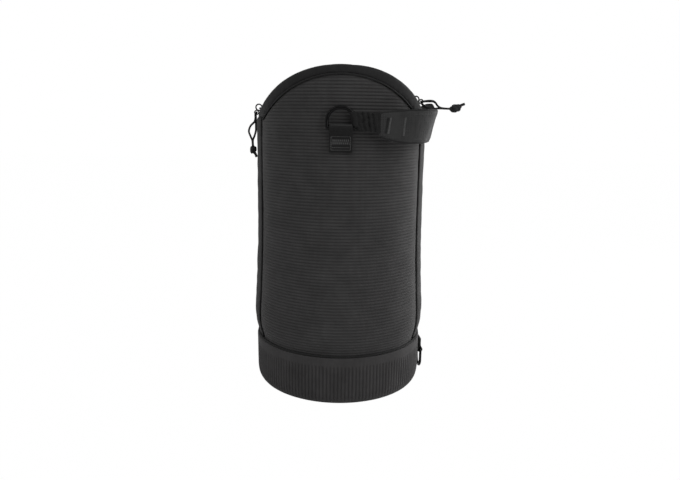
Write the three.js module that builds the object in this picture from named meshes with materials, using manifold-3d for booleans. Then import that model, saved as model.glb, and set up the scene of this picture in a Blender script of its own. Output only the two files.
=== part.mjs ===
import * as THREE from 'three';
import { mergeVertices } from 'three/addons/utils/BufferGeometryUtils.js';
import Module from 'manifold-3d';

const wasm = await Module();
wasm.setup();

// Driving dimensions in millimetres. Origin at the middle of the base, front towards -Y, up is +Z.
const bodyRadius = 74;
const panelThickness = 2;
const foamThickness = 7;
const liningThickness = 1;
const layerGap = 0.3;
const facetDegrees = 5;
const sideAngle = 67;
const pipingRadius = 0.75;

// Padded walls swell just above the cup: height above the rim binding, and share of the swell there
const swell = 3.2;
const swellShape = [
  [1, 0],
  [7, 0.5],
  [14, 0.92],
  [24, 1],
  [35, 0.81],
  [46, 0.6],
  [58, 0.45],
  [72, 0.26],
  [88, 0.1],
  [106, 0],
];

// Cup and floor
const cupFloor = 2.5;
const cupWall = 1.6;
const cupFlare = 0.8;
const cupHeight = 44;
const bindingHeight = 1.8;
const bindingReach = 2.6;
const boardThickness = 2.2;
const floorPadThickness = 8;

// Arched top: walls end on an arch about an axis parallel to Y
const shoulderHeight = 240.8;
const archRadius = 78.3;
const crownThickness = 7.4;
const crownSetback = 0.2;

// Zip over the crown
const zipHalfChannel = 6;
const slitHalf = 1;
const tapeDepth = 2.6;
const tapeThickness = 0.9;
const toothHeight = 1.3;
const toothReach = 2.3;
const toothLength = 1.5;
const toothPitch = 2.4;
const zipMovingEnd = 41.5;
const zipFixedStart = 42.8;
const zipStopAngle = 57.4;
const zipTail = 0.9;

// Sliders and pullers
const sliderHalfLength = 4.4;
const sliderPlate = 0.9;
const sliderUnderPlate = 1.4;
const sliderClearance = 0.5;
const postWidth = 1.4;
const postLength = 3;
const pullWire = 1.2;
const pullRadius = 2.7;
const eyeWire = 1.1;
const eyeRadius = 1.8;
const eyeDistance = 5;
const cordRadius = 0.8;
const leftSliderAngle = -54.2;
const rightSliderAngle = 47;
const leftEyeDirection = [-0.42, -0.907];
const rightEyeDirection = [0.933, -0.36];

// Carrying rings, tabs and handle
const webbingWidth = 18.4;
const webbingThickness = 1.2;
const ringWire = 3;
const ringBelowShoulder = 1.5;
const ringLeg = 4.7;
const ringCorner = 1.6;
const tabLength = 19.8;
const loopTilt = 25;
const loopHalfWidth = 4.5;
const strapThickness = 3;
const strapAbove = 10.5;
const strapBelow = 17;
const strapTaper = 18;
const strapStandOff = 7.3;
const strapLean = 3;
const cornerLean = 4.6;
const strapStart = 30;
const bartackWidth = 1;
const bartackThickness = 0.5;

// Small ring on the cup
const cupRingAngle = 95;
const cupRingWire = 2;
const cupRingRadius = 8;
const cupRingBar = 23;
const cupRingLeg = 8.8;
const cupRingCorner = 1.4;
const cupTabTop = 35;
const cupTabHalfWidth = 6;

// Sizes that follow from the ones above
const ringRadius = webbingWidth / 2 + layerGap + ringWire / 2;
const foamOuter = bodyRadius - panelThickness - layerGap;
const foamInner = foamOuter - foamThickness;
const liningOuter = foamInner - layerGap;
const liningInner = liningOuter - liningThickness;
const cupInner = bodyRadius + layerGap;
const cupOuter = cupInner + cupWall;
const boardBottom = cupFloor + layerGap;
const wallBottom = boardBottom + boardThickness + layerGap;
const crownInner = archRadius + layerGap;
const crownOuter = crownInner + crownThickness;
const crownBottom = shoulderHeight + layerGap;
const crownPlanRadius = bodyRadius - crownSetback;
const joinHalfAngle = THREE.MathUtils.radToDeg((pipingRadius + layerGap) / (bodyRadius - pipingRadius));
const bindingBottom = cupHeight + layerGap;
const bindingTop = bindingBottom + bindingHeight;
const tapeInner = crownOuter - tapeDepth;
const zipTailCos = Math.cos(THREE.MathUtils.degToRad(zipStopAngle + zipTail));
const archCentre = shoulderHeight + layerGap - tapeInner * zipTailCos;
const tapeOuter = tapeInner + tapeThickness;
const tapeEdge = zipHalfChannel - layerGap;
const toothInner = tapeOuter + layerGap;
const toothOuter = toothInner + toothHeight;
const sliderTop = toothOuter + layerGap;
const sliderUnder = tapeInner - sliderClearance;
const sliderHalfWidth = zipHalfChannel - 1;
const pullCentre = sliderTop + sliderPlate + pullWire / 2 + 0.35 + pullRadius;
const tabLoopInner = ringWire / 2 + layerGap;
const tabLoopOuter = tabLoopInner + webbingThickness;
const ringPlane = bodyRadius + layerGap + tabLoopOuter + 0.4;
const ringCentre = shoulderHeight - ringBelowShoulder;
const ringBar = ringCentre - ringLeg;
const tabBottom = ringBar - tabLength;
const strapTop = ringCentre + strapAbove;
const strapBottom = ringCentre - strapBelow;
const strapPlane = ringPlane + layerGap;
const farOut = 400;

const radians = THREE.MathUtils.degToRad;

// A point on a circle about Z, the angle counted from the front towards +X
function around(radius, degrees, height) {
  const angle = radians(degrees);
  return new THREE.Vector3(radius * Math.sin(angle), -radius * Math.cos(angle), height);
}

// A point on the arch, the angle counted from straight up towards +X
function onArch(radius, degrees, y) {
  const angle = radians(degrees);
  return new THREE.Vector3(radius * Math.sin(angle), y, archCentre + radius * Math.cos(angle));
}

function signedVolume(geometry) {
  const p = geometry.attributes.position;
  const index = geometry.index;
  const a = new THREE.Vector3();
  const b = new THREE.Vector3();
  const c = new THREE.Vector3();
  let total = 0;
  for (let i = 0; i < index.count; i += 3) {
    a.fromBufferAttribute(p, index.getX(i));
    b.fromBufferAttribute(p, index.getX(i + 1));
    c.fromBufferAttribute(p, index.getX(i + 2));
    total += a.dot(b.cross(c));
  }
  return total / 6;
}

// Welds a geometry, drops flat triangles and turns its faces outwards
function closed(source) {
  const bare = source.clone();
  bare.deleteAttribute('normal');
  bare.deleteAttribute('uv');
  const welded = mergeVertices(bare, 1e-4);
  const kept = [];
  for (let i = 0; i < welded.index.count; i += 3) {
    const a = welded.index.getX(i);
    const b = welded.index.getX(i + 1);
    const c = welded.index.getX(i + 2);
    if (a !== b && b !== c && c !== a) {
      kept.push(a, b, c);
    }
  }
  welded.setIndex(kept);
  if (signedVolume(welded) < 0) {
    for (let i = 0; i < kept.length; i += 3) {
      [kept[i + 1], kept[i + 2]] = [kept[i + 2], kept[i + 1]];
    }
    welded.setIndex(kept);
  }
  return welded;
}

// Joins sections of the same point count into one skin, with flat ends or as a closed loop
function skin(sections, loop = false) {
  const count = sections[0].length;
  const positions = sections.flat().flatMap((p) => [p.x, p.y, p.z]);
  const index = [];
  const spans = loop ? sections.length : sections.length - 1;
  for (let s = 0; s < spans; s += 1) {
    const here = s * count;
    const next = ((s + 1) % sections.length) * count;
    for (let i = 0; i < count; i += 1) {
      const j = (i + 1) % count;
      index.push(here + i, next + i, next + j, here + i, next + j, here + j);
    }
  }
  if (!loop) {
    const last = (sections.length - 1) * count;
    for (let i = 1; i < count - 1; i += 1) {
      index.push(0, i, i + 1);
      index.push(last, last + i + 1, last + i);
    }
  }
  const geometry = new THREE.BufferGeometry();
  geometry.setAttribute('position', new THREE.Float32BufferAttribute(positions, 3));
  geometry.setIndex(index);
  return closed(geometry);
}

function facetAngles(from, to) {
  const angles = [from];
  for (let a = Math.ceil((from + 0.5) / facetDegrees) * facetDegrees; a < to - 0.5; a += facetDegrees) {
    angles.push(a);
  }
  angles.push(to);
  return angles;
}

// A closed profile of [radius, height] points turned all the way round
function revolve(profile) {
  const sections = [];
  for (let a = 0; a < 360; a += facetDegrees) {
    sections.push(profile.map(([radius, height]) => around(radius, a, height)));
  }
  return skin(sections, true);
}

// The outer skin of a swollen wall as [radius, height] points from the top down, moved out by an offset
function wallSkin(offset, bottom, top) {
  const swollen = swellShape.map(([rise, share]) => [bodyRadius + offset + swell * share, bindingTop + rise]);
  return [[bodyRadius + offset, top], ...swollen.reverse(), [bodyRadius + offset, bottom]];
}

function swollenSector(inner, from, to, bottom, top) {
  const middle = bindingTop + 24;
  return skin(facetAngles(from, to).map((a) => [
    around(inner, a, middle),
    around(inner, a, top),
    ...wallSkin(0, bottom, top).map(([radius, height]) => around(radius, a, height)),
    around(inner, a, bottom),
  ]));
}

function archPlate(inner, outer, from, to, yLow, yHigh, step = 3) {
  const count = Math.max(1, Math.round((to - from) / step));
  const sections = [];
  for (let i = 0; i <= count; i += 1) {
    const a = from + ((to - from) * i) / count;
    sections.push([
      onArch(inner, a, yLow),
      onArch(outer, a, yLow),
      onArch(outer, a, yHigh),
      onArch(inner, a, yHigh),
    ]);
  }
  return skin(sections);
}

function box(low, high) {
  const size = high.map((value, i) => value - low[i]);
  const geometry = new THREE.BoxGeometry(...size);
  geometry.translate(...low.map((value, i) => value + size[i] / 2));
  return closed(geometry);
}

// A box built as if at the top of the arch, heights counted from the arch axis, then turned to its angle
function archBox(low, high, degrees) {
  const geometry = box(low, high);
  geometry.rotateY(radians(degrees));
  geometry.translate(0, 0, archCentre);
  return geometry;
}

function rodAlongX(radius, halfLength, y, z, sides = 20) {
  const geometry = new THREE.CylinderGeometry(radius, radius, halfLength * 2, sides);
  geometry.rotateZ(Math.PI / 2);
  geometry.translate(0, y, z);
  return closed(geometry);
}

// A flat outline of [a, b] points made solid along the third axis
function prism(points, depth) {
  const shape = new THREE.Shape(points.map(([a, b]) => new THREE.Vector2(a, b)));
  return new THREE.ExtrudeGeometry(shape, { depth, bevelEnabled: false, steps: 1 });
}

function prismAlongY(points, yLow, yHigh) {
  const geometry = prism(points, yHigh - yLow);
  geometry.rotateX(Math.PI / 2);
  geometry.translate(0, yHigh, 0);
  return closed(geometry);
}

function solid(geometry) {
  const ready = closed(geometry);
  return new wasm.Manifold(new wasm.Mesh({
    numProp: 3,
    vertProperties: new Float32Array(ready.attributes.position.array),
    triVerts: new Uint32Array(ready.index.array),
  }));
}

function fromSolid(shape) {
  const mesh = shape.getMesh();
  const geometry = new THREE.BufferGeometry();
  geometry.setAttribute('position', new THREE.Float32BufferAttribute(mesh.vertProperties, 3));
  geometry.setIndex(Array.from(mesh.triVerts));
  return closed(geometry);
}

function joined(...geometries) {
  return fromSolid(geometries.map(solid).reduce((sum, next) => sum.add(next)));
}

function cut(body, ...tools) {
  return fromSolid(tools.map(solid).reduce((rest, tool) => rest.subtract(tool), solid(body)));
}

function kept(body, ...limits) {
  return fromSolid(limits.map(solid).reduce((rest, limit) => rest.intersect(limit), solid(body)));
}

// A round wire bent along a flat closed path of [across, up] points in a plane parallel to XZ
function bentWire(path, radius, y, sides = 10) {
  const sections = path.map(([a, b], i) => {
    const before = path[(i + path.length - 1) % path.length];
    const after = path[(i + 1) % path.length];
    const along = new THREE.Vector2(after[0] - before[0], after[1] - before[1]).normalize();
    const ring = [];
    for (let k = 0; k < sides; k += 1) {
      const angle = (2 * Math.PI * k) / sides;
      const out = radius * Math.cos(angle);
      ring.push(new THREE.Vector3(a + along.y * out, y + radius * Math.sin(angle), b - along.x * out));
    }
    return ring;
  });
  return skin(sections, true);
}

// The centreline of a D-shaped ring, its bar at height 0 and its bow upwards
function dPath(radius, leg, corner) {
  const path = [];
  for (let a = 0; a <= 180; a += 15) {
    path.push([radius * Math.cos(radians(a)), leg + radius * Math.sin(radians(a))]);
  }
  for (let a = 180; a <= 270; a += 30) {
    path.push([-radius + corner + corner * Math.cos(radians(a)), corner + corner * Math.sin(radians(a))]);
  }
  for (let a = 270; a <= 360; a += 30) {
    path.push([radius - corner + corner * Math.cos(radians(a)), corner + corner * Math.sin(radians(a))]);
  }
  return path;
}

const group = new THREE.Group();
group.name = 'lens_case';

function add(name, geometry, color, roughness, metalness = 0) {
  const ready = closed(geometry);
  ready.computeVertexNormals();
  const material = new THREE.MeshStandardMaterial({ color, roughness, metalness });
  material.name = name;
  const mesh = new THREE.Mesh(ready, material);
  mesh.name = name;
  group.add(mesh);
}

const fabric = 0x353435;
const fabricDark = 0x252525;
const cupFabric = 0x302e2f;
const liningGrey = 0x3c3d40;
const foamGrey = 0x4a4a4c;
const metalDark = 0x1b1b1c;
const webbing = 0x2d2d2d;
const strapGrey = 0x393939;

// Cup that the case stands in
const bindingRadius = cupInner + bindingReach;
add('cup_shell', revolve([
  [0, 0],
  [cupInner - 4.3, 0],
  [cupInner - 1.1, 0.7],
  [cupInner + 0.9, 2.6],
  [cupOuter, 5.5],
  [cupOuter + cupFlare, cupHeight - 4],
  [cupOuter + cupFlare + 0.5, cupHeight],
  [cupInner, cupHeight],
  [cupInner, cupFloor + 2.1],
  [cupInner - 2.1, cupFloor],
  [0, cupFloor],
]), cupFabric, 0.85);
add('cup_binding', revolve([
  [cupInner, bindingBottom],
  [bindingRadius - 0.6, bindingBottom],
  [bindingRadius, bindingBottom + 0.8],
  [bindingRadius, bindingTop - 0.9],
  [bindingRadius - 0.8, bindingTop],
  [cupInner, bindingTop],
]), fabricDark, 0.8);
const floorBoardRadius = cupInner - 2.1 - layerGap;
add('floor_board', revolve([
  [0, boardBottom],
  [floorBoardRadius, boardBottom],
  [floorBoardRadius, boardBottom + boardThickness],
  [0, boardBottom + boardThickness],
]), fabricDark, 0.7);
const padRadius = liningInner - layerGap;
const padTop = wallBottom + floorPadThickness;
add('floor_pad', revolve([
  [0, wallBottom],
  [padRadius, wallBottom],
  [padRadius, padTop - 1],
  [padRadius - 1, padTop],
  [0, padTop],
]), liningGrey, 0.95);

// Walls, cut to the arch at their tops
const archOutline = [[-farOut, -10], [farOut, -10], [farOut, shoulderHeight]];
const archEnd = Math.acos((shoulderHeight - archCentre) / archRadius);
const archSteps = 40;
for (let i = 0; i <= archSteps; i += 1) {
  const a = archEnd - (2 * archEnd * i) / archSteps;
  archOutline.push([archRadius * Math.sin(a), archCentre + archRadius * Math.cos(a)]);
}
archOutline.push([-farOut, shoulderHeight]);
const underArch = prismAlongY(archOutline, -farOut, farOut);
const wallTop = archCentre + archRadius + 10;

function wallRing(inner, outer) {
  return kept(revolve([
    [inner, wallBottom],
    [outer, wallBottom],
    [outer, wallTop],
    [inner, wallTop],
  ]), underArch);
}

add('wall_foam', wallRing(foamInner, foamOuter), foamGrey, 0.95);
add('wall_lining', wallRing(liningInner, liningOuter), liningGrey, 0.9);
const panelInner = bodyRadius - panelThickness;
const panelEnd = sideAngle - joinHalfAngle;
const gussetStart = sideAngle + joinHalfAngle;
const frontPanel = kept(swollenSector(panelInner, -panelEnd, panelEnd, wallBottom, wallTop), underArch);
add('front_panel', frontPanel, fabric, 0.85);
add('rear_panel', frontPanel.clone().rotateZ(Math.PI), fabric, 0.85);
const gusset = swollenSector(panelInner, gussetStart, 180 - gussetStart, wallBottom, shoulderHeight);
add('side_gusset_right', gusset, fabric, 0.9);
add('side_gusset_left', gusset.clone().rotateZ(Math.PI), fabric, 0.9);

function piping(degrees) {
  const bottom = bindingTop + layerGap;
  const line = wallSkin(-pipingRadius / 2, bottom, shoulderHeight - layerGap);
  return skin(line.map(([radius, height]) => {
    const ring = [];
    for (let k = 0; k < 10; k += 1) {
      const turn = (Math.PI * k) / 5;
      const centre = around(radius, degrees, height);
      ring.push(centre.add(new THREE.Vector3(Math.cos(turn), Math.sin(turn), 0).multiplyScalar(pipingRadius)));
    }
    return ring;
  }));
}

add('side_piping_front_left', piping(-sideAngle), fabricDark, 0.6);
add('side_piping_front_right', piping(sideAngle), fabricDark, 0.6);
add('side_piping_rear_right', piping(180 - sideAngle), fabricDark, 0.6);
add('side_piping_rear_left', piping(180 + sideAngle), fabricDark, 0.6);

// Crown halves on either side of the zip
const crownLimit = revolve([
  [0, crownBottom],
  [crownPlanRadius, crownBottom],
  [crownPlanRadius, wallTop + crownThickness],
  [0, wallTop + crownThickness],
]);
const crownFront = kept(archPlate(crownInner, crownOuter, -75, 75, -bodyRadius, -zipHalfChannel), crownLimit);
add('crown_front', crownFront, fabricDark, 0.8);
add('crown_rear', crownFront.clone().rotateZ(Math.PI), fabricDark, 0.8);

// Zip tapes and teeth
const pitchDegrees = THREE.MathUtils.radToDeg(toothPitch / crownOuter);

function tooth(side, degrees, inner, outer) {
  const near = side * slitHalf;
  const far = side * (slitHalf + toothReach);
  const low = [-toothLength / 2, Math.min(near, far), inner];
  const high = [toothLength / 2, Math.max(near, far), outer];
  return archBox(low, high, degrees);
}

function movingZip(side) {
  const near = side * slitHalf;
  const far = side * tapeEdge;
  const tape = archPlate(
    tapeInner,
    tapeOuter,
    -zipMovingEnd,
    zipMovingEnd,
    Math.min(near, far),
    Math.max(near, far),
  );
  const teeth = [];
  const shift = (side * pitchDegrees) / 4;
  const reach = zipMovingEnd - pitchDegrees;
  const count = Math.floor((2 * reach) / pitchDegrees);
  for (let i = 0; i <= count; i += 1) {
    const a = (i - count / 2) * pitchDegrees + shift;
    teeth.push(tooth(side, a, toothInner, toothOuter));
  }
  const coreNear = side * (slitHalf + 0.5);
  const coreFar = side * (slitHalf + toothReach - 0.5);
  teeth.push(archPlate(
    toothInner,
    toothInner + toothHeight / 2,
    -zipMovingEnd,
    zipMovingEnd,
    Math.min(coreNear, coreFar),
    Math.max(coreNear, coreFar),
  ));
  return { tape, teeth: joined(...teeth) };
}

const zipFront = movingZip(-1);
const zipRear = movingZip(1);
add('zip_tape_front', zipFront.tape, fabricDark, 0.9);
add('zip_tape_rear', zipRear.tape, fabricDark, 0.9);
add('zip_teeth_front', zipFront.teeth, metalDark, 0.45);
add('zip_teeth_rear', zipRear.teeth, metalDark, 0.45);

function zipEnd(sign) {
  const end = zipStopAngle + 6;
  const pieces = [
    archPlate(tapeInner, tapeOuter, zipFixedStart, end, -tapeEdge, -slitHalf),
    archPlate(tapeInner, tapeOuter, zipFixedStart, end, slitHalf, tapeEdge),
    archPlate(tapeInner, tapeOuter, zipStopAngle, end, -tapeEdge, tapeEdge, 1),
  ];
  const count = Math.floor((zipStopAngle - zipFixedStart) / pitchDegrees) - 1;
  for (let i = 0; i < count; i += 1) {
    const a = zipFixedStart + pitchDegrees * (i + 0.7);
    pieces.push(tooth(-1, a, tapeInner + tapeThickness / 2, toothOuter));
    pieces.push(tooth(1, a + pitchDegrees / 2, tapeInner + tapeThickness / 2, toothOuter));
  }
  pieces.push(archBox(
    [-0.6, -2, tapeInner + tapeThickness / 2],
    [0.6, 2, toothOuter + 0.6],
    zipStopAngle + 0.7,
  ));
  const above = box([0, -bodyRadius, crownBottom], [crownOuter * 2, bodyRadius, wallTop + 50]);
  const geometry = kept(joined(...pieces), above);
  return sign > 0 ? geometry : geometry.rotateZ(Math.PI);
}

add('zip_end_left', zipEnd(-1), fabricDark, 0.8);
add('zip_end_right', zipEnd(1), fabricDark, 0.8);

// Sliders, each with a bridge that holds its pull ring
function slider(degrees) {
  const plateTop = sliderTop + sliderPlate;
  const bridgeUnder = pullCentre - pullRadius + pullWire / 2 + 0.45;
  const bridgeTop = bridgeUnder + 0.9;
  const bridgeHalf = 0.8;
  const legIn = pullWire / 2 + 0.35;
  const legOut = legIn + 1.2;
  const halfLength = sliderHalfLength;
  const halfWidth = sliderHalfWidth;
  return joined(
    archBox([-halfLength, -halfWidth, sliderTop], [halfLength, halfWidth, plateTop], degrees),
    archBox(
      [-halfLength, -halfWidth, sliderUnder - sliderUnderPlate],
      [halfLength, halfWidth, sliderUnder],
      degrees,
    ),
    archBox(
      [-postLength / 2, -postWidth / 2, sliderUnder - 0.5],
      [postLength / 2, postWidth / 2, sliderTop + 0.5],
      degrees,
    ),
    archBox([-bridgeHalf, -legOut, plateTop - 0.5], [bridgeHalf, -legIn, bridgeTop], degrees),
    archBox([-bridgeHalf, legIn, plateTop - 0.5], [bridgeHalf, legOut, bridgeTop], degrees),
    archBox([-bridgeHalf, -legOut, bridgeUnder], [bridgeHalf, legOut, bridgeTop], degrees),
  );
}

function flatTorus(radius, wire, x, z, segments) {
  const geometry = new THREE.TorusGeometry(radius, wire / 2, 8, segments);
  geometry.rotateX(Math.PI / 2);
  geometry.translate(x, 0, z);
  return geometry;
}

function pullRing(centre, eye) {
  return joined(
    flatTorus(pullRadius, pullWire, centre.x, centre.z, 28),
    flatTorus(eyeRadius, eyeWire, eye.x, eye.z, 20),
  );
}

// A loop of cord through the eye, both strands ending in a knot that has a short tail
function pullCord(eye, near, far, knot, knotSize, knotTilt, tail) {
  const points = [
    knot.clone().add(new THREE.Vector3(0, -0.5, 0)),
    ...near.slice().reverse(),
    eye,
    ...far,
    knot.clone().add(new THREE.Vector3(0, 0.5, 0)),
  ];
  const path = new THREE.CatmullRomCurve3(points, false, 'centripetal');
  const round = new THREE.Shape();
  round.absarc(0, 0, cordRadius, 0, Math.PI * 2);
  const cord = new THREE.ExtrudeGeometry(round, {
    steps: 44,
    curveSegments: 4,
    bevelEnabled: false,
    extrudePath: path,
  });
  const end = new THREE.ExtrudeGeometry(round, {
    steps: 5,
    curveSegments: 4,
    bevelEnabled: false,
    extrudePath: new THREE.CatmullRomCurve3([knot, ...tail], false, 'centripetal'),
  });
  const ball = new THREE.SphereGeometry(1, 14, 10);
  ball.scale(...knotSize);
  ball.rotateY(radians(knotTilt));
  ball.translate(knot.x, 0, knot.z);
  return joined(cord, ball, end);
}

const leftRing = onArch(pullCentre, leftSliderAngle, 0);
const rightRing = onArch(pullCentre, rightSliderAngle, 0);

function eyeOf(ring, direction) {
  return new THREE.Vector3(
    ring.x + direction[0] * eyeDistance,
    0,
    ring.z + direction[1] * eyeDistance,
  );
}

const leftEye = eyeOf(leftRing, leftEyeDirection);
const rightEye = eyeOf(rightRing, rightEyeDirection);
add('slider_left', slider(leftSliderAngle), metalDark, 0.35, 0.7);
add('slider_right', slider(rightSliderAngle), metalDark, 0.35, 0.7);
add('pull_ring_left', pullRing(leftRing, leftEye), metalDark, 0.3, 0.8);
add('pull_ring_right', pullRing(rightRing, rightEye), metalDark, 0.3, 0.8);

// Cord points are measured from the eye, as [right, back, up]
const leftNear = [
  [-0.1, -0.9, -0.1],
  [-0.5, -1.5, -0.6],
  [-1, -1.8, -1.9],
  [-1, -1.2, -4.6],
  [-1.9, -0.9, -8.2],
  [-5.4, -0.85, -11.8],
  [-7.1, -0.85, -16.5],
  [-5.7, -0.85, -21],
  [-4.2, -0.85, -24.5],
  [-3.9, -0.85, -28],
];
const leftFar = [
  [-0.1, 0.9, -0.1],
  [-0.5, 1.5, -0.6],
  [-1, 1.8, -1.9],
  [-0.9, 1.2, -4.6],
  [-0.9, 0.9, -8.2],
  [-0.9, 0.85, -11.8],
  [-1.1, 0.85, -16.5],
  [-2.4, 0.85, -21],
  [-3.8, 0.85, -24.5],
  [-3.8, 0.85, -28],
];
const leftKnot = [-3.6, 0, -33];
const leftTail = [
  [-1.7, 0, -36.6],
  [-0.5, 0.3, -39.6],
];
const rightNear = [
  [0.1, -0.9, -0.05],
  [0.6, -1.5, -0.1],
  [1.8, -1.8, 0],
  [6, -1.3, 0.4],
  [10.5, -0.9, 0.3],
  [13, -0.85, -1.2],
  [14.8, -0.85, -3.6],
  [17.6, -0.85, -5.3],
  [22, -0.85, -5.9],
  [26.5, -0.85, -5.9],
];
const rightFar = [
  [0.1, 0.9, -0.05],
  [0.5, 1.5, -0.5],
  [1.2, 1.8, -2],
  [3.6, 1.3, -4.2],
  [7.5, 0.9, -5.6],
  [11.5, 0.85, -6.1],
  [14.8, 0.85, -5.9],
  [18, 0.85, -5.8],
  [22, 0.85, -5.9],
  [26.5, 0.85, -5.9],
];
const rightKnot = [31, 0, -5.5];
const rightTail = [
  [35, 0, -3.2],
  [39, 0.3, -1.6],
];

function fromEye(eye, point) {
  return new THREE.Vector3(eye.x + point[0], point[1], eye.z + point[2]);
}

function cordAt(eye, near, far, knot, knotSize, knotTilt, tail) {
  const placed = (points) => points.map((point) => fromEye(eye, point));
  return pullCord(eye, placed(near), placed(far), fromEye(eye, knot), knotSize, knotTilt, placed(tail));
}

add(
  'pull_cord_left',
  cordAt(leftEye, leftNear, leftFar, leftKnot, [2.9, 2.5, 3.7], 16, leftTail),
  webbing,
  0.9,
);
add(
  'pull_cord_right',
  cordAt(rightEye, rightNear, rightFar, rightKnot, [4.9, 2.8, 3.3], -14, rightTail),
  webbing,
  0.9,
);

// Webbing tabs and carrying rings on the front and the rear
const tabHalf = webbingWidth / 2;
const tabFront = cut(
  joined(
    rodAlongX(tabLoopOuter, tabHalf, -ringPlane, ringBar),
    box(
      [-tabHalf, -bodyRadius - layerGap - 2 * webbingThickness, tabBottom],
      [tabHalf, -bodyRadius - layerGap, ringBar],
    ),
  ),
  rodAlongX(tabLoopInner, tabHalf + 1, -ringPlane, ringBar),
);
add('ring_tab_front', tabFront, webbing, 0.9);
add('ring_tab_rear', tabFront.clone().rotateZ(Math.PI), webbing, 0.9);
const ringPath = dPath(ringRadius, ringLeg, ringCorner).map(([a, b]) => [a, b + ringBar]);
add('d_ring_front', bentWire(ringPath, ringWire / 2, -ringPlane), metalDark, 0.25, 0.9);
add('d_ring_rear', bentWire(ringPath, ringWire / 2, ringPlane), metalDark, 0.25, 0.9);

// Handle: a wide strap round the right side, its narrow ends looped through the carrying rings
const strapFront = [
  [strapStart, -strapPlane],
  [42, -strapPlane - 0.3],
  [52, -strapPlane + 0.4],
  [bodyRadius - 14, -strapPlane + 3.2],
  [bodyRadius - 7.5, -strapPlane + 8.5],
  [bodyRadius - 3.6, -strapPlane + 15.5],
  [bodyRadius + 0.2, -strapPlane + 32],
  [bodyRadius + 3.8, -strapPlane + 52],
  [bodyRadius + strapStandOff, 0],
];
const strapBack = strapFront.slice(0, -1).map(([x, y]) => [x, -y]).reverse();
const strapCurve = new THREE.CatmullRomCurve3(
  [...strapFront, ...strapBack].map(([x, y]) => new THREE.Vector3(x, y, 0)),
  false,
  'centripetal',
);
const strapStations = 60;

function strapSection(t) {
  const point = strapCurve.getPointAt(t);
  const along = strapCurve.getTangentAt(t);
  const out = new THREE.Vector3(along.y, -along.x, 0).multiplyScalar(strapThickness / 2);
  const fromEnd = Math.min(t, 1 - t) * strapCurve.getLength();
  const wide = Math.min(1, fromEnd / strapTaper);
  const low = strapBottom + 5 * (1 - wide) * (1 - wide);
  const turned = Math.min(1, Math.max(0, (fromEnd - strapTaper) / 30));
  const corner = Math.exp(-(((Math.abs(point.y) - strapPlane + 28) / 22) ** 2));
  const lean = turned * (strapLean + (cornerLean - strapLean) * corner);
  const side = new THREE.Vector3(along.y, -along.x, 0).multiplyScalar(lean);
  return [
    new THREE.Vector3(point.x + out.x - side.x, point.y + out.y - side.y, low),
    new THREE.Vector3(point.x + out.x + side.x, point.y + out.y + side.y, strapTop),
    new THREE.Vector3(point.x - out.x + side.x, point.y - out.y + side.y, strapTop),
    new THREE.Vector3(point.x - out.x - side.x, point.y - out.y - side.y, low),
  ];
}

const strapSections = [];
for (let i = 0; i <= strapStations; i += 1) {
  strapSections.push(strapSection(i / strapStations));
}
add('handle_strap', skin(strapSections), strapGrey, 0.85);

// The narrow end loop: a flat eye round the ring wire, then a neck that widens into the strap
const holeIn = Math.sqrt((ringRadius - ringWire / 2) ** 2 - loopHalfWidth ** 2) - layerGap;
const holeOut = ringRadius + ringWire / 2 + 0.35;
const holeHalf = ringWire / 2 + layerGap;
const eyeIn = holeIn - webbingThickness;
const eyeOut = holeOut + 1.6;
const eyeHalf = holeHalf + webbingThickness;
const eyeCorner = 0.8;

function loopFront() {
  const outline = [
    [eyeIn, -eyeHalf + eyeCorner],
    [eyeIn + eyeCorner, -eyeHalf],
    [eyeOut - eyeCorner, -eyeHalf],
    [eyeOut, -eyeHalf + eyeCorner],
    [eyeOut, eyeHalf - eyeCorner],
    [eyeOut - eyeCorner, eyeHalf],
    [eyeIn + eyeCorner, eyeHalf],
    [eyeIn, eyeHalf - eyeCorner],
  ];
  const eye = prism(outline, 2 * loopHalfWidth);
  eye.translate(0, 0, -loopHalfWidth);
  const hole = box([holeIn, -holeHalf, -loopHalfWidth - 1], [holeOut, holeHalf, loopHalfWidth + 1]);
  const start = [
    [-1, -1],
    [-1, 1],
    [1, 1],
    [1, -1],
  ];
  const tilt = radians(loopTilt);
  const neckStart = start.map(([v, w]) => new THREE.Vector3(
    (holeOut + 0.7) * Math.cos(tilt) - w * (loopHalfWidth - 0.2) * Math.sin(tilt),
    v * (eyeHalf - 0.5),
    (holeOut + 0.7) * Math.sin(tilt) + w * (loopHalfWidth - 0.2) * Math.cos(tilt),
  ));
  const neckAt = (x, rise, half, thick, y) => start.map(([v, w]) => (
    new THREE.Vector3(x, y + v * thick, rise + w * half)));
  const neck = skin([
    neckStart,
    neckAt(strapStart - 12.5, 3.6, 6.6, 2, 0),
    neckAt(strapStart - 7, 1.6, 7.6, 1.6, -0.1),
    neckAt(strapStart - layerGap, 0.2, 8.4, 1.3, -0.3),
  ]);
  const ready = closed(cut(eye, hole));
  ready.rotateY(-tilt);
  const whole = joined(ready, neck);
  whole.translate(0, -ringPlane, ringCentre);
  return whole;
}

const frontLoop = loopFront();
add('handle_loop_front', frontLoop, webbing, 0.9);
add('handle_loop_rear', closed(frontLoop.clone().scale(1, -1, 1)), webbing, 0.9);

// Rows of stitches that hold the strap over its ends
const bartackPlaces = [38, 48.8];
const bartackLow = strapBottom + 6.4;
const bartackHigh = strapTop - 7.4;

function bartack(x, side) {
  let t = 0;
  while (strapCurve.getPointAt(t).x < x) {
    t += 0.001;
  }
  const point = strapCurve.getPointAt(t);
  const along = strapCurve.getTangentAt(t);
  const geometry = box([-bartackWidth / 2, 0, bartackLow], [bartackWidth / 2, bartackThickness, bartackHigh]);
  geometry.rotateZ(Math.atan2(along.y, along.x));
  const out = strapThickness / 2 + layerGap + bartackThickness;
  geometry.translate(point.x + along.y * out, point.y - along.x * out, 0);
  return side < 0 ? geometry : closed(geometry.scale(1, -1, 1));
}

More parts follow.
